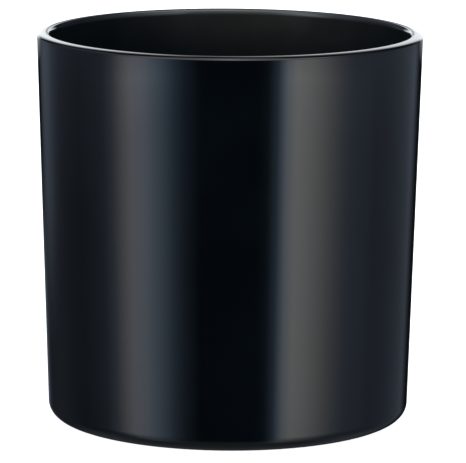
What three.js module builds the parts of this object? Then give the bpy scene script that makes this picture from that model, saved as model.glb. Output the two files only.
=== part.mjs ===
// Empty candle jar: a plain, slightly tapered glass tumbler with a domed rim, a rounded heel
// and a heavy base. Gloss lacquer is sprayed over the outside of its wall, and over the
// hollow of its underside, and leaves bare the ring that the jar stands on.
// Millimetres, +Z up. The origin is the centre of the base, on the surface the jar stands on.
import * as THREE from "three";

// Driving dimensions of the finished jar, over the lacquer.
const HEIGHT = 90;
const RIM_RADIUS = 44.5; // where the straight outer wall, carried on up, meets the top
const BASE_RADIUS = 41.8; // where the same wall, carried on down, meets the surface below
const WALL = 2.95;
const HEEL_RADIUS = 3.5; // rounding between the outer wall and the underside

// The rim: a low dome, with a tight edge on its outer side and a soft one on its inner side.
const CREST_IN = 2.1; // from the outer wall to the crest
const DOME_RADIUS = 3.8;
const EDGE_RADIUS = 0.2; // between the dome and the outer wall
const INNER_DOWN = 1.5; // height of the quarter ellipse between the crest and the inner wall

// The inside and the underside.
const FLOOR_HEIGHT = 9; // top of the glass floor at its middle
const CORNER_RADIUS = 8; // between the inner wall and the floor
const PUNT_RADIUS = 30; // inner edge of the flat ring that the jar stands on
const PUNT_DEPTH = 1.5; // how far the underside is hollowed at its middle

// The lacquer.
const COAT = 0.06;
const WALL_COAT_START = 20; // degrees round the heel, up from the standing ring
const BASE_COAT_SHARE = 0.96; // how much of the punt's radius is lacquered

// How finely round things are divided.
const AROUND = 64;
const HEEL_STEPS = 6;
const BARE_HEEL_STEPS = 2;
const DOME_STEPS = 3;
const EDGE_STEPS = 3;
const INNER_STEPS = 5;
const CORNER_STEPS = 6;
const PUNT_STEPS = 4;

const lean = Math.atan2(RIM_RADIUS - BASE_RADIUS, HEIGHT); // of the wall from upright
const leanDegrees = THREE.MathUtils.radToDeg(lean);

// Radius of the wall at a height, at a depth in from the straight outer face.
function wallRadius(z, depth = 0) {
  return BASE_RADIUS + Math.tan(lean) * z - depth / Math.cos(lean);
}

// Points along an ellipse's arc, as (radius, height), between two angles in degrees from +X.
function arc(centre, across, up, fromDegrees, toDegrees, steps) {
  const points = [];
  for (let i = 0; i <= steps; i += 1) {
    const degrees = THREE.MathUtils.lerp(fromDegrees, toDegrees, i / steps);
    const angle = THREE.MathUtils.degToRad(degrees);
    const offset = new THREE.Vector2(across * Math.cos(angle), up * Math.sin(angle));
    points.push(offset.add(centre));
  }
  return points;
}

// The rim's dome and its tight outer edge are two circles that touch. Both are centred on the
// finished surface, so the glass under the lacquer has the same centres and smaller radii.
const crest = new THREE.Vector2(wallRadius(HEIGHT, CREST_IN), HEIGHT);
const domeCentre = new THREE.Vector2(crest.x, HEIGHT - DOME_RADIUS);
const edgeX = crest.x + CREST_IN - EDGE_RADIUS;
const touchAngle = Math.acos((edgeX - crest.x) / (DOME_RADIUS - EDGE_RADIUS));
const edgeCentre = new THREE.Vector2(
  edgeX,
  domeCentre.y + (DOME_RADIUS - EDGE_RADIUS) * Math.sin(touchAngle),
);
const touchDegrees = THREE.MathUtils.radToDeg(touchAngle);

// The heel's rounding is centred one radius up and one radius in from the wall.
const heelCentre = new THREE.Vector2(wallRadius(HEEL_RADIUS, HEEL_RADIUS), HEEL_RADIUS);

// The outside, from the lacquer's start on the heel up to the crest, at a depth under the
// finished surface. Depth 0 is the lacquer's face and depth COAT is the glass.
function outside(depth) {
  const heel = HEEL_RADIUS - depth;
  const edge = EDGE_RADIUS - depth;
  const dome = DOME_RADIUS - depth;
  const start = -90 + WALL_COAT_START;
  return [
    ...arc(heelCentre, heel, heel, start, -leanDegrees, HEEL_STEPS),
    ...arc(edgeCentre, edge, edge, -leanDegrees, touchDegrees, EDGE_STEPS),
    ...arc(domeCentre, dome, dome, touchDegrees, 90, DOME_STEPS).slice(1),
  ];
}

// The inside, from just past the crest down the wall and over the floor to the axis.
function inside() {
  const innerTop = HEIGHT - COAT;
  const innerCentre = new THREE.Vector2(crest.x, HEIGHT - INNER_DOWN);
  const across = crest.x - wallRadius(innerCentre.y, WALL);
  const down = innerTop - innerCentre.y;
  const cornerZ = FLOOR_HEIGHT + CORNER_RADIUS;
  const cornerCentre = new THREE.Vector2(wallRadius(cornerZ, WALL + CORNER_RADIUS), cornerZ);
  return [
    ...arc(innerCentre, across, down, 90, 180, INNER_STEPS).slice(1),
    ...arc(cornerCentre, CORNER_RADIUS, CORNER_RADIUS, -leanDegrees, -90, CORNER_STEPS),
    new THREE.Vector2(0, FLOOR_HEIGHT),
  ];
}

// The hollow of the underside, from the axis out, up to a share of its radius and a lift
// above the finished surface.
function punt(lift) {
  const points = [];
  for (let i = 0; i <= PUNT_STEPS; i += 1) {
    const share = (BASE_COAT_SHARE * i) / PUNT_STEPS;
    const z = PUNT_DEPTH * (1 - share * share) + lift;
    points.push(new THREE.Vector2(PUNT_RADIUS * share, z));
  }
  return points;
}

// The bare glass between the two lacquers: the end of the punt, the flat ring that the jar
// stands on, and the lowest part of the heel.
function standingRing() {
  const finishedPunt = punt(0);
  return [
    finishedPunt[finishedPunt.length - 1],
    new THREE.Vector2(PUNT_RADIUS, 0),
    ...arc(heelCentre, HEEL_RADIUS, HEEL_RADIUS, -90, -90 + WALL_COAT_START, BARE_HEEL_STEPS),
  ];
}

// Turns a closed profile about the jar's axis, +Z.
function turned(name, profile, finish) {
  const geometry = new THREE.LatheGeometry(profile, AROUND);
  geometry.rotateX(Math.PI / 2);
  const mesh = new THREE.Mesh(geometry, new THREE.MeshStandardMaterial(finish));
  mesh.name = name;
  return mesh;
}

const seenThroughGlass = { color: 0x101010, roughness: 0.05, metalness: 0 };
const glossBlack = { color: 0x04080b, roughness: 0.03, metalness: 0 };

function glassTumbler() {
  const profile = [...punt(COAT), ...standingRing(), ...outside(COAT), ...inside()];
  return turned("glass_tumbler", profile, seenThroughGlass);
}

// A skin over the heel, the wall and the outer half of the rim.
function wallLacquer() {
  const face = outside(0);
  const profile = [...face, ...outside(COAT).reverse(), face[0].clone()];
  return turned("wall_lacquer", profile, glossBlack);
}

// A shallow dished skin over the punt.
function baseLacquer() {
  const profile = [...punt(0), ...punt(COAT).reverse()];
  return turned("base_lacquer", profile, glossBlack);
}

const jar = new THREE.Group();
jar.add(glassTumbler());
jar.add(wallLacquer());
jar.add(baseLacquer());

export default jar;
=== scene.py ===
# %% [markdown]
# # A gloss black candle jar
# The jar is a plain glass tumbler, a little wider at the rim than at the base, with gloss
# black lacquer sprayed over its outside. It has no pattern, no seam and no label, so all
# that the eye gets is its outline, the way the glass turns over at the rim and at the heel,
# and what the polish mirrors. This lesson turns the jar from exact profiles, gives each
# surface the finish of the real one, and then spends most of its care on the studio,
# because a black gloss object looks like the lights around it.

# %% Load the frame
import math

import bpy
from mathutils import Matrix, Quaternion, Vector


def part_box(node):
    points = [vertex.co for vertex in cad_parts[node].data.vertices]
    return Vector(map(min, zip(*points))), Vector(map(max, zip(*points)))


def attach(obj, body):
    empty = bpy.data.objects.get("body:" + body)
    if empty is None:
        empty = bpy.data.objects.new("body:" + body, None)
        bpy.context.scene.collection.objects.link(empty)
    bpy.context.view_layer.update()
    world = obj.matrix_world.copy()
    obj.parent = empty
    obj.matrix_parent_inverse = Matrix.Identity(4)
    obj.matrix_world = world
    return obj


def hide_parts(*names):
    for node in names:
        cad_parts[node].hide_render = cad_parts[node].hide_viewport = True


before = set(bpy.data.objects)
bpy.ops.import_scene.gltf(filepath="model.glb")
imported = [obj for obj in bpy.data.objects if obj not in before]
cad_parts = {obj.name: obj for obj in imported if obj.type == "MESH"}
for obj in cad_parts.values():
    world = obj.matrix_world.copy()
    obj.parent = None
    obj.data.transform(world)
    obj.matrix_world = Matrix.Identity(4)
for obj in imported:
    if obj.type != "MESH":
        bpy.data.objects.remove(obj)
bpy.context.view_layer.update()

# %% [markdown]
# ## Units and two small helpers
# The frame is in metres, and a glassmaker thinks in millimetres, so every size below is a
# number times `MM`. Colours are picked as sRGB hex, the way a paint chart gives them, and
# Blender mixes light in linear values, so one function does the change. Another adds a
# shader node, sets its inputs and makes its links in one go.

# %% Helpers
MM = 0.001


def linear(hex_colour):
    """An sRGB hex colour as linear red, green, blue and alpha."""
    values = []
    for start in (1, 3, 5):
        share = int(hex_colour[start : start + 2], 16) / 255
        low = share / 12.92
        high = ((share + 0.055) / 1.055) ** 2.4
        values.append(low if share <= 0.04045 else high)
    return (*values, 1.0)


def add_node(tree, kind, links=None, inputs=None, **settings):
    """Adds a node; links and inputs are keyed by the socket's name or number."""
    node = tree.nodes.new(kind)
    for name, value in settings.items():
        setattr(node, name, value)
    for name, value in (inputs or {}).items():
        node.inputs[name].default_value = value
    for name, socket in (links or {}).items():
        tree.links.new(socket, node.inputs[name])
    return node


print("white is", linear("#ffffff"), "and mid grey is", linear("#808080"))

# %% [markdown]
# ## The jar's measures
# The jar's height and the lacquer's thickness are read from the frame, so that these can't
# drift from its CAD model, and its radii at the base and the rim are given. The rest are the
# shop's numbers for such a tumbler: how thick the wall is, how the rim is domed by the fire
# polisher's flame with a tighter edge outside than inside, how the heel is rounded so that it
# doesn't chip, and how deep the underside is hollowed so that the jar stands on a ring and
# doesn't rock.

# %% Measures
glass_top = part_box("glass_tumbler")[1].z
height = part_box("wall_lacquer")[1].z
coat = height - glass_top

base_radius = 41.8 * MM  # the straight wall, carried on down to the table
rim_radius = 44.5 * MM  # and carried on up to the height of the crest
wall = 2.95 * MM
heel_radius = 3.5 * MM
crest_in = 2.1 * MM  # from the outer wall to the rim's crest
dome_radius = 3.8 * MM
edge_radius = 0.2 * MM
inner_down = 1.5 * MM
floor_height = 9 * MM
corner_radius = 8 * MM
punt_radius = 30 * MM
punt_depth = 1.5 * MM
wall_coat_start = 20  # degrees round the heel, up from the standing ring
base_coat_share = 0.96  # of the punt's radius

lean = math.atan2(rim_radius - base_radius, height)


def wall_radius(z, depth=0.0):
    """Radius of the wall at a height, at a depth in from the straight outer face."""
    return base_radius + math.tan(lean) * z - depth / math.cos(lean)


print("height", round(height / MM, 2), "mm, lacquer", round(coat / MM, 3), "mm")
print("the wall leans out by", round(math.degrees(lean), 2), "degrees")

# %% [markdown]
# ## Profiles
# A turned thing is one profile swept about an axis, which is how the mould of a pressed
# tumbler is cut. Subdividing a rough turning would be quicker to write, but it shrinks
# round edges, and on a mirror finish every wrong curve shows as a bent highlight. So each
# profile is built from true arcs, finely stepped, and straight runs between them.

# %% Arcs and the centres they turn on
ROUND_STEPS = 20


def arc(centre, across, up, start, end, steps=ROUND_STEPS):
    """Points along an ellipse's arc, as (radius, height), between two angles in degrees."""
    points = []
    for i in range(steps + 1):
        angle = math.radians(start + (end - start) * i / steps)
        x = centre[0] + across * math.cos(angle)
        points.append((x, centre[1] + up * math.sin(angle)))
    return points


def run(start, end, steps=12):
    """The points between two others on a straight line, without its two ends."""
    shares = [i / steps for i in range(1, steps)]
    return [tuple(a + (b - a) * s for a, b in zip(start, end)) for s in shares]


crest = (wall_radius(height, crest_in), height)
dome_centre = (crest[0], height - dome_radius)
edge_x = crest[0] + crest_in - edge_radius
touch = math.acos((edge_x - crest[0]) / (dome_radius - edge_radius))
edge_centre = (edge_x, dome_centre[1] + (dome_radius - edge_radius) * math.sin(touch))
heel_centre = (wall_radius(heel_radius, heel_radius), heel_radius)
lean_degrees = math.degrees(lean)
touch_degrees = math.degrees(touch)
print("the dome meets the rim's edge", round(90 - touch_degrees, 1), "degrees from its top")

# %% The outside, the inside and the underside
def outside(depth):
    """From the lacquer's start on the heel up to the crest, at a depth under its face."""
    heel = heel_radius - depth
    edge = edge_radius - depth
    dome = dome_radius - depth
    lower = arc(heel_centre, heel, heel, wall_coat_start - 90, -lean_degrees)
    upper = arc(edge_centre, edge, edge, -lean_degrees, touch_degrees)
    over = arc(dome_centre, dome, dome, touch_degrees, 90)
    return [*lower, *run(lower[-1], upper[0]), *upper, *over[1:]]


def inside():
    """From just past the crest down the inner wall and over the floor to the axis."""
    centre = (crest[0], height - inner_down)
    across = crest[0] - wall_radius(centre[1], wall)
    rim = arc(centre, across, height - coat - centre[1], 90, 180)
    corner_z = floor_height + corner_radius
    corner_centre = (wall_radius(corner_z, wall + corner_radius), corner_z)
    corner = arc(corner_centre, corner_radius, corner_radius, -lean_degrees, -90)
    floor_run = run(corner[-1], (0, floor_height))
    return [*rim[1:], *run(rim[-1], corner[0]), *corner, *floor_run, (0, floor_height)]


def punt(lift):
    """The hollow of the underside, from the axis out, as far as it is lacquered."""
    points = []
    for i in range(ROUND_STEPS + 1):
        share = base_coat_share * i / ROUND_STEPS
        points.append((punt_radius * share, punt_depth * (1 - share**2) + lift))
    return points


def standing_ring():
    """The bare glass between the two lacquers."""
    heel = arc(heel_centre, heel_radius, heel_radius, -90, wall_coat_start - 90)
    ring_edge = (punt_radius, 0)
    return [punt(0)[-1], ring_edge, *run(ring_edge, heel[0]), *heel]


print("outside", len(outside(0)), "points, inside", len(inside()), "points")

# %% [markdown]
# ## Turning a profile into a mesh
# The Spin tool or the Screw modifier would do this too, but each leaves a seam or a heap of
# points at the axis to merge. Building the rings directly gives one closed skin: every
# ring shares its points with the next, and where the profile touches the axis a single
# point closes it with a fan. 288 sides keep each facet under a millimetre wide, and smooth
# shading does the rest.

# %% Turned pieces
SIDES = 288
ON_AXIS = 1e-9


def ring_of(points, radius, z):
    """Adds one ring's points, or one point on the axis, and returns their numbers."""
    first = len(points)
    if radius < ON_AXIS:
        points.append((0.0, 0.0, z))
        return [first] * SIDES
    for i in range(SIDES):
        angle = 2 * math.pi * i / SIDES
        points.append((radius * math.cos(angle), radius * math.sin(angle), z))
    return list(range(first, first + SIDES))


def turned(name, profile, closes):
    """A smooth mesh turned from a profile that runs so that its outside is on the right."""
    points = []
    rings = [ring_of(points, radius, z) for radius, z in profile]
    pairs = list(zip(rings, rings[1:]))
    if closes:
        pairs.append((rings[-1], rings[0]))
    faces = []
    for low, high in pairs:
        for i in range(SIDES):
            j = (i + 1) % SIDES
            corners = (low[i], low[j], high[j], high[i])
            face = [c for k, c in enumerate(corners) if c != corners[k - 1]]
            if len(face) > 2:
                faces.append(face)
    mesh = bpy.data.meshes.new(name)
    mesh.from_pydata(points, [], faces)
    mesh.validate()
    mesh.shade_smooth()
    piece = bpy.data.objects.new(name, mesh)
    bpy.context.scene.collection.objects.link(piece)
    print(name, len(points), "points,", len(faces), "faces")
    return piece


# %% [markdown]
# ## The glass and its two lacquers
# The tumbler is one closed turning. The wall's lacquer lies over it from the heel to the
# crest of the rim, and a second patch fills the hollow of the underside: the jar stands
# on the ring between them, which is left bare. Each piece here stands for the CAD node
# whose profile it repeats more finely.

# %% Make the three pieces
glass_profile = [*punt(coat), *standing_ring(), *outside(coat), *inside()]
glass = turned("tumbler", glass_profile, closes=False)
wall_lacquer = turned("lacquer_on_wall", [*outside(0), *reversed(outside(coat))], closes=True)
base_lacquer = turned("lacquer_under_base", [*punt(0), *reversed(punt(coat))], closes=False)

for piece, node in (
    (glass, "glass_tumbler"),
    (wall_lacquer, "wall_lacquer"),
    (base_lacquer, "base_lacquer"),
):
    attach(piece, "root")
    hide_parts(node)

# %% [markdown]
# ## Finish 1: sprayed gloss black lacquer
# A two-pack lacquer is sprayed on the hot, clean glass and baked. It is a smooth
# dielectric, so its IOR is about 1.5 and it mirrors only 4% of the light square on and
# nearly all of it at the outline. Under the polish it is a blue-black that sends back
# almost nothing. What gives it away as paint is orange peel, a swell a few millimetres
# long and under a thousandth of a millimetre high, and patches that polish a little
# better than others. The swell bends the mirrored edges very slightly, and that is what
# tells the eye that this is not a computer's perfect cylinder.

# %% Lacquer material
def peel(tree, coordinates, length, amplitude, before=None):
    """A bump node for a swell of a given length and height, in metres."""
    swell = add_node(
        tree,
        "ShaderNodeTexNoise",
        links={"Vector": coordinates},
        inputs={"Scale": 1 / length, "Detail": 2.0, "Roughness": 0.45},
    )
    links = {"Height": swell.outputs["Fac"]}
    if before:
        links["Normal"] = before.outputs["Normal"]
    return add_node(
        tree, "ShaderNodeBump", links=links, inputs={"Strength": 1.0, "Distance": amplitude}
    )


def patches(tree, coordinates, length, low, high, detail=3.0):
    """A value that drifts between two limits over patches of a given length."""
    noise = add_node(
        tree,
        "ShaderNodeTexNoise",
        links={"Vector": coordinates},
        inputs={"Scale": 1 / length, "Detail": detail, "Roughness": 0.55},
    )
    return add_node(
        tree,
        "ShaderNodeMapRange",
        links={"Value": noise.outputs["Fac"]},
        inputs={"From Min": 0.3, "From Max": 0.7, "To Min": low, "To Max": high},
        interpolation_type="SMOOTHSTEP",
    )


def gloss_black_lacquer():
    material = bpy.data.materials.new("gloss_black_lacquer")
    material.use_nodes = True
    tree = material.node_tree
    tree.nodes.clear()
    place = add_node(tree, "ShaderNodeTexCoord").outputs["Object"]
    shade = patches(tree, place, 18 * MM, 0.0, 1.0)
    colour = add_node(
        tree,
        "ShaderNodeMix",
        data_type="RGBA",
        links={"Factor": shade.outputs["Result"]},
        inputs={"A": linear("#020406"), "B": linear("#030609")},
    )
    polish = patches(tree, place, 12 * MM, 0.028, 0.05)
    orange_peel = peel(tree, place, 3.0 * MM, 0.0006 * MM)
    shader = add_node(
        tree,
        "ShaderNodeBsdfPrincipled",
        links={
            "Base Color": colour.outputs["Result"],
            "Roughness": polish.outputs["Result"],
            "Normal": orange_peel.outputs["Normal"],
        },
        inputs={"IOR": 1.5, "Metallic": 0.0},
    )
    add_node(tree, "ShaderNodeOutputMaterial", links={"Surface": shader.outputs["BSDF"]})
    return material


lacquer_material = gloss_black_lacquer()
for piece in (wall_lacquer, base_lacquer):
    piece.data.materials.append(lacquer_material)
print("lacquer:", len(lacquer_material.node_tree.nodes), "nodes")

# %% [markdown]
# ## Finish 2: the glass, seen against its lacquer
# Inside, the eye meets clear soda-lime glass with black paint behind it. Real clear glass
# could be modelled with transmission and the paint left to show through, but every ray
# would have to cross two faces a few millimetres apart to find a black that is already
# known, and a see-through shader bakes badly. So the glass is opaque here and takes the
# tone of the paint behind it, a black a touch lighter than the outside. At the back of the
# rim a lighter, more neutral tone is painted into the glass's colour: a painted glow that
# stands in for light falling on the top of the far inner wall. The coat's own mesh is
# equally thick all over, and the glow is colour only. Pressed glass also has a slow swell,
# left by the plunger that forms the inside, and a finer one from the flame that polishes it.

# %% Glass material
# The painted glow: where the glass's colour is lightened to stand in for light on the top of
# the far inner wall, and how far that painted light fades out.
PAINTED_GLOW_CENTRE = (7 * MM, 40 * MM, 90 * MM)  # at the back of the rim
PAINTED_GLOW_REACH = (42 * MM, 60 * MM, 15 * MM)  # how far it fades out, across, deep and down


def glass_over_black():
    material = bpy.data.materials.new("soda_lime_glass_over_black_with_painted_glow")
    material.use_nodes = True
    tree = material.node_tree
    tree.nodes.clear()
    place = add_node(tree, "ShaderNodeTexCoord").outputs["Object"]
    from_painted_glow = add_node(
        tree,
        "ShaderNodeVectorMath",
        operation="SUBTRACT",
        links={0: place},
        inputs={1: PAINTED_GLOW_CENTRE},
    )
    in_reaches = add_node(
        tree,
        "ShaderNodeVectorMath",
        operation="DIVIDE",
        links={0: from_painted_glow.outputs["Vector"]},
        inputs={1: PAINTED_GLOW_REACH},
    )
    distance = add_node(
        tree,
        "ShaderNodeVectorMath",
        operation="LENGTH",
        links={0: in_reaches.outputs["Vector"]},
    )
    # Painted light: near the back of the rim the glass's colour is mixed towards a lighter
    # tone, standing in for light that falls there.
    painted_glow = add_node(
        tree,
        "ShaderNodeMapRange",
        links={"Value": distance.outputs["Value"]},
        inputs={"From Min": 1.0, "From Max": 0.0},
        interpolation_type="SMOOTHSTEP",
    )
    tone = add_node(
        tree,
        "ShaderNodeMix",
        data_type="RGBA",
        links={"Factor": painted_glow.outputs["Result"]},
        inputs={"A": linear("#0f1316"), "B": linear("#282827")},
    )
    shade = patches(tree, place, 9 * MM, 0.85, 1.15)
    colour = add_node(
        tree,
        "ShaderNodeVectorMath",
        operation="SCALE",
        links={"Vector": tone.outputs["Result"], "Scale": shade.outputs["Result"]},
    )
    polish = patches(tree, place, 15 * MM, 0.04, 0.07)
    swell = peel(tree, place, 14 * MM, 0.004 * MM)
    fine = peel(tree, place, 2.5 * MM, 0.0005 * MM, before=swell)
    shader = add_node(
        tree,
        "ShaderNodeBsdfPrincipled",
        links={
            "Base Color": colour.outputs["Vector"],
            "Roughness": polish.outputs["Result"],
            "Normal": fine.outputs["Normal"],
        },
        inputs={"IOR": 1.52, "Metallic": 0.0},
    )
    add_node(tree, "ShaderNodeOutputMaterial", links={"Surface": shader.outputs["BSDF"]})
    return material


glass_material = glass_over_black()
glass.data.materials.append(glass_material)
print("glass:", len(glass_material.node_tree.nodes), "nodes")

# %% [markdown]
# ## The table and the light tent
# The jar stands on a sheet of opal acrylic that is lit from below, so that no shadow
# gathers round its base. The tent over it is brightest and most neutral in front, a little
# to the camera's left, and dimmer and bluer on the opposite side. Whoever lights black
# gloss keeps two things apart: what lights the scene, and what the polish mirrors. Here the
# tent lights the inside of the cup, and the polish is shown a dark studio instead, with
# only the lights of the next step in it. Its floor is a little lighter, and that greys the
# underside of the heel. The lit sheet is hidden from the polish, which no real studio can
# do so simply: mirrored, its glare would wash out the heel.

# %% Table
TABLE_SIZE = 60.0
BACKLIGHT = 0.9


def pale_table():
    mesh = bpy.data.meshes.new("table")
    half = TABLE_SIZE / 2
    mesh.from_pydata(
        [(-half, -half, 0), (half, -half, 0), (half, half, 0), (-half, half, 0)],
        [],
        [(0, 1, 2, 3)],
    )
    table = bpy.data.objects.new("table", mesh)
    bpy.context.scene.collection.objects.link(table)
    material = bpy.data.materials.new("backlit_opal_acrylic")
    material.use_nodes = True
    shader = material.node_tree.nodes["Principled BSDF"]
    shader.inputs["Base Color"].default_value = linear("#f4f4f4")
    shader.inputs["Roughness"].default_value = 0.9
    shader.inputs["Specular IOR Level"].default_value = 0.0
    shader.inputs["Emission Color"].default_value = linear("#ffffff")
    shader.inputs["Emission Strength"].default_value = BACKLIGHT
    mesh.materials.append(material)
    table.visible_glossy = False
    print("table:", TABLE_SIZE, "m square, lit from below at", BACKLIGHT)


pale_table()

# %% The tent, and the dark studio that the polish sees
BACKGROUND = 1.1
TENT_DIM = 0.3
TENT_BRIGHT = 1.9
TENT_FRONT = (-0.45, -0.89, 0.0)  # towards the camera and a little to its left
STUDIO_DARK = 0.01
STUDIO_FLOOR = 0.2
FLOOR_STARTS = 28  # degrees below level, where the studio starts to lighten
FLOOR_FULL = 60  # and where it has all the floor's brightness


def tent_and_studio():
    world = bpy.data.worlds.new("tent")
    bpy.context.scene.world = world
    world.use_nodes = True
    tree = world.node_tree
    tree.nodes.clear()
    direction = add_node(tree, "ShaderNodeTexCoord").outputs["Generated"]
    rays = add_node(tree, "ShaderNodeLightPath")

    facing = add_node(
        tree,
        "ShaderNodeVectorMath",
        operation="DOT_PRODUCT",
        links={0: direction},
        inputs={1: TENT_FRONT},
    )
    front = add_node(
        tree,
        "ShaderNodeMapRange",
        links={"Value": facing.outputs["Value"]},
        inputs={"From Min": -1.0, "From Max": 1.0},
    ).outputs["Result"]
    strength = add_node(
        tree,
        "ShaderNodeMapRange",
        links={"Value": front},
        inputs={"To Min": TENT_DIM, "To Max": TENT_BRIGHT},
    )
    tint = add_node(
        tree,
        "ShaderNodeMix",
        data_type="RGBA",
        links={"Factor": front},
        inputs={"A": linear("#a9c8ea"), "B": linear("#ffffff")},
    )
    tent = add_node(
        tree,
        "ShaderNodeBackground",
        links={"Color": tint.outputs["Result"], "Strength": strength.outputs["Result"]},
    )

    up = add_node(tree, "ShaderNodeSeparateXYZ", links={"Vector": direction}).outputs["Z"]
    downwards = add_node(
        tree,
        "ShaderNodeMapRange",
        links={"Value": up},
        inputs={
            "From Min": -math.sin(math.radians(FLOOR_FULL)),
            "From Max": -math.sin(math.radians(FLOOR_STARTS)),
            "To Min": STUDIO_FLOOR,
            "To Max": STUDIO_DARK,
        },
        interpolation_type="SMOOTHSTEP",
    )
    studio = add_node(
        tree,
        "ShaderNodeBackground",
        links={"Strength": downwards.outputs["Result"]},
        inputs={"Color": linear("#dfe8f2")},
    )
    lit = add_node(
        tree,
        "ShaderNodeMixShader",
        links={
            "Fac": rays.outputs["Is Glossy Ray"],
            1: tent.outputs["Background"],
            2: studio.outputs["Background"],
        },
    )
    backdrop = add_node(
        tree,
        "ShaderNodeBackground",
        inputs={"Color": linear("#ffffff"), "Strength": BACKGROUND},
    )
    choice = add_node(
        tree,
        "ShaderNodeMixShader",
        links={
            "Fac": rays.outputs["Is Camera Ray"],
            1: lit.outputs["Shader"],
            2: backdrop.outputs["Background"],
        },
    )
    add_node(tree, "ShaderNodeOutputWorld", links={"Surface": choice.outputs["Shader"]})
    print("tent:", TENT_DIM, "to", TENT_BRIGHT, "and the dark studio:", STUDIO_DARK)


tent_and_studio()

# %% [markdown]
# ## Lights for the polish
# Two tall softboxes stand left and right of the camera. They reach from above the jar to
# below it, so that their reflections fill the wall from rim to heel, and they fade low
# down, which rounds off the heel. Each is thin at the level of the jar, where only the
# tight edge of the rim would mirror it. The left one fades both ways, and the right one
# has a crisp inner edge and a long outer fade. Dim, cool fills go on round the sides, with
# two narrow strips at the far left that draw the outline there. A diffuser overhead and a
# canopy in front light the rim's inner rounding, and two white backdrops behind, one low
# and wide and one taller and narrower, catch the rim at a grazing angle. A gap in the
# middle of both breaks that line of light in front.
#
# Separate panels would hide one another, so all are painted on one shell round the jar:
# each light is a run of brightness over bearings, times a run of shares over elevations,
# times its tint. All are stops in degrees, with an even change between them. Bearing 0 is
# towards the camera, plus is to the right, and 180 is straight behind. Only the polish
# sees the shell.

# %% The lights
WHITE = "#ffffff"
SOFT_WHITE = "#f6fbff"
PEARL = "#f4f4ff"
COOL = "#d0e1fc"
SKY = "#c0e0ff"

LIGHTS = {
    "left_softbox": {
        "tints": [(-81, COOL), (-66, PEARL), (-62, PEARL), (-36, SKY)],
        "bearings": [
            (-100, 0.0), (-88, 0.1), (-81, 0.23), (-73, 0.58), (-60, 1.84), (-55, 1.96),
            (-50, 1.9), (-38, 1.03), (-32, 0.5), (-26, 0.2), (-17, 0.0),
        ],
        "elevations": [
            (-56, 0.05), (-35, 0.45), (-20, 0.86), (-12, 1.0), (-10, 1.0), (-8, 1.25),
            (-5, 0.8), (0, 0.28), (6, 0.1), (15, 0.5), (30, 0.95), (40, 0.9), (50, 0.65),
            (60, 0.2), (66, 0.0),
        ],
    },
    "right_softbox": {
        "tints": [(28, SKY), (39, WHITE), (60, WHITE), (78, COOL)],
        "bearings": [
            (17, 0.0), (23, 0.08), (28, 0.58), (34, 2.15), (40, 2.45), (47, 2.12),
            (61, 1.13), (69, 0.76), (86, 0.24), (98, 0.0),
        ],
        "elevations": [
            (-56, 0.05), (-35, 0.42), (-20, 0.8), (-17, 0.9), (-10, 1.0), (-8, 1.13),
            (-5, 0.75), (0, 0.1), (6, 0.05), (20, 0.2), (30, 0.42), (36, 0.45),
            (46, 0.2), (60, 0.0),
        ],
    },
    "left_edge_strip": {
        "tints": [(0, COOL)],
        "bearings": [(-160, 0.0), (-145, 0.13), (-137, 0.12), (-130, 0.05), (-122, 0.0)],
        "elevations": [(-13, 0.0), (-11, 0.95), (-6, 1.5), (40, 1.5), (60, 0.0)],
    },
    "left_low_strip": {
        "tints": [(0, COOL)],
        "bearings": [(-176, 0.0), (-169, 0.24), (-162, 0.14), (-154, 0.03), (-148, 0.0)],
        "elevations": [(-50, 0.0), (-13, 1.0), (-11, 0.7), (-9, 0.0)],
    },
    "left_fill": {
        "tints": [(0, COOL)],
        "bearings": [
            (-158, 0.0), (-145, 0.05), (-125, 0.11), (-98, 0.12), (-88, 0.1), (-74, 0.0),
        ],
        "elevations": [
            (-56, 0.3), (-30, 0.7), (-11, 0.8), (-6, 1.8), (-2, 0.5), (8, 0.5),
            (40, 3.6), (55, 6.5), (66, 0.0),
        ],
    },
    "right_fill": {
        "tints": [(0, COOL)],
        "bearings": [
            (70, 0.0), (78, 0.04), (88, 0.18), (98, 0.245), (110, 0.21), (125, 0.2),
            (143, 0.205), (151, 0.05), (157, 0.0),
        ],
        "elevations": [
            (-56, 0.3), (-30, 0.8), (-15, 1.0), (-11, 1.0), (-6, 1.5), (-2, 0.4),
            (8, 0.3), (40, 0.8), (60, 3.0), (70, 0.0),
        ],
    },
    "front_canopy": {
        "tints": [(0, WHITE)],
        "bearings": [
            (-110, 0.0), (-70, 0.6), (-50, 0.8), (0, 1.0), (40, 0.85), (60, 0.7),
            (100, 0.2), (120, 0.0),
        ],
        "elevations": [(2, 0.0), (20, 0.4), (35, 0.8), (50, 1.3), (60, 1.5), (68, 0.0)],
    },
    "overhead_diffuser": {
        "tints": [(0, SOFT_WHITE)],
        "bearings": [
            (-180, 2.2), (-160, 1.0), (-130, 2.0), (-60, 2.0), (-5, 2.85), (110, 3.05),
            (145, 1.5), (158, 0.8), (180, 2.2),
        ],
        "elevations": [(54, 0.0), (62, 0.7), (72, 1.0)],
    },
    "low_backdrop": {
        "tints": [(0, SOFT_WHITE)],
        "bearings": [
            (151, 0.0), (158, 1.5), (164, 2.0), (176, 1.6), (178, 0.7), (182, 0.3),
            (184, 1.5), (196, 2.4), (203, 1.9), (210, 0.0),
        ],
        "elevations": [(-6, 0.0), (-2, 1.0), (8, 1.0), (14, 0.0)],
    },
    "tall_backdrop": {
        "tints": [(0, SOFT_WHITE)],
        "bearings": [
            (160, 0.0), (166, 2.2), (176, 1.8), (178, 0.9), (180, 0.55), (182, 0.4),
            (184, 2.0), (192, 2.4), (198, 0.0),
        ],
        "elevations": [(8, 0.0), (14, 1.0), (24, 1.0), (34, 0.3), (45, 0.0)],
    },
}
print(len(LIGHTS), "lights:", ", ".join(LIGHTS))

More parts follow.
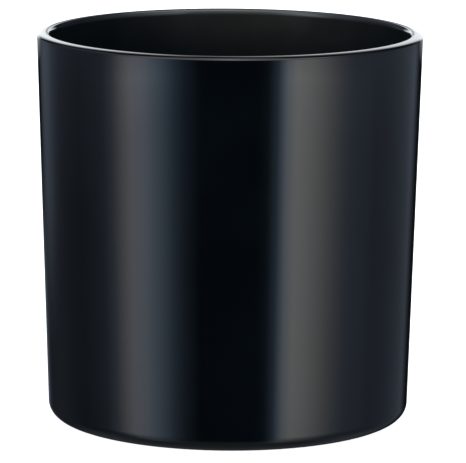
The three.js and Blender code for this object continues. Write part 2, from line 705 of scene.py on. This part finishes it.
# %% Paint them on a shell
SHELL_RADIUS = 1.0
SHELL_LOWEST = -56  # degrees
SHELL_STEP = 2


def between(stops, at):
    """The value at a place on a run of (place, value) stops, held beyond its two ends."""
    if at < stops[0][0]:
        return stops[0][1]
    for (start, low), (end, high) in zip(stops, stops[1:]):
        if at < end:
            return low + (high - low) * ((at - start) / (end - start))
    return stops[-1][1]


def light_towards(bearing, elevation):
    """Red, green and blue that the polish sees at a bearing and an elevation."""
    total = Vector((0.0, 0.0, 0.0))
    for light in LIGHTS.values():
        # A light behind the jar runs on past 180, where bearings start again at -180.
        around = bearing if bearing >= light["bearings"][0][0] else bearing + 360
        tints = [(place, Vector(linear(tint)[:3])) for place, tint in light["tints"]]
        brightness = between(light["bearings"], around)
        total += between(tints, around) * brightness * between(light["elevations"], elevation)
    return total


def painted_shell():
    points = []
    glow = []
    bearings = range(-180, 180, SHELL_STEP)
    elevations = range(SHELL_LOWEST, 91, SHELL_STEP)
    for elevation in elevations:
        for bearing in bearings:
            e, b = math.radians(elevation), math.radians(bearing)
            aim = Vector((math.sin(b) * math.cos(e), -math.cos(b) * math.cos(e), math.sin(e)))
            points.append(aim * SHELL_RADIUS + Vector((0, 0, height / 2)))
            glow.extend((*light_towards(bearing, elevation), 1.0))
    faces = []
    row = len(bearings)
    for i in range(len(elevations) - 1):
        for j in range(row):
            k = (j + 1) % row
            faces.append((i * row + j, i * row + k, (i + 1) * row + k, (i + 1) * row + j))
    mesh = bpy.data.meshes.new("light_shell")
    mesh.from_pydata(points, [], faces)
    mesh.attributes.new("glow", "FLOAT_COLOR", "POINT").data.foreach_set("color", glow)
    shell = bpy.data.objects.new("light_shell", mesh)
    bpy.context.scene.collection.objects.link(shell)
    material = bpy.data.materials.new("diffuser_cloth")
    material.use_nodes = True
    tree = material.node_tree
    tree.nodes.clear()
    paint = add_node(tree, "ShaderNodeAttribute", attribute_name="glow")
    light = add_node(tree, "ShaderNodeEmission", links={"Color": paint.outputs["Color"]})
    gap = add_node(tree, "ShaderNodeBsdfTransparent")
    both = add_node(
        tree,
        "ShaderNodeAddShader",
        links={0: light.outputs["Emission"], 1: gap.outputs["BSDF"]},
    )
    add_node(tree, "ShaderNodeOutputMaterial", links={"Surface": both.outputs["Shader"]})
    mesh.materials.append(material)
    shell.visible_camera = False
    shell.visible_diffuse = False
    shell.visible_shadow = False
    shell.visible_transmission = False
    print("light shell:", len(faces), "faces, brightest", round(max(glow), 2))


painted_shell()

# %% [markdown]
# ## The camera
# A long lens from nearly a metre away flattens the jar as a catalogue picture does. It
# looks ten degrees down, so that the rim opens into a narrow ellipse and the far rim
# shows above the near one. The camera rolls by a little over a third of a degree.

# %% Camera
CAMERA_BACK = 935.8 * MM
CAMERA_UP = 212.4 * MM
AIM = Vector((0.97 * MM, 0, 43.13 * MM))
ROLL = math.radians(0.38)
LENS = 316.0  # mm of focal length, over a sensor 36 mm wide
SENSOR = 36.0

camera_data = bpy.data.cameras.new("camera")
camera_data.lens = LENS
camera_data.sensor_width = SENSOR
camera_data.clip_start = 0.05
camera_data.clip_end = 100.0
camera = bpy.data.objects.new("camera", camera_data)
bpy.context.scene.collection.objects.link(camera)
camera.location = (0, -CAMERA_BACK, CAMERA_UP)
towards = AIM - camera.location
camera.rotation_mode = "QUATERNION"
level = towards.to_track_quat("-Z", "Y")
camera.rotation_quaternion = level @ Quaternion((0, 0, 1), ROLL)
bpy.context.scene.camera = camera
bpy.context.scene.view_settings.view_transform = "Standard"
print("camera looks", round(math.degrees(math.atan2(-towards.z, towards.y)), 2), "degrees down")
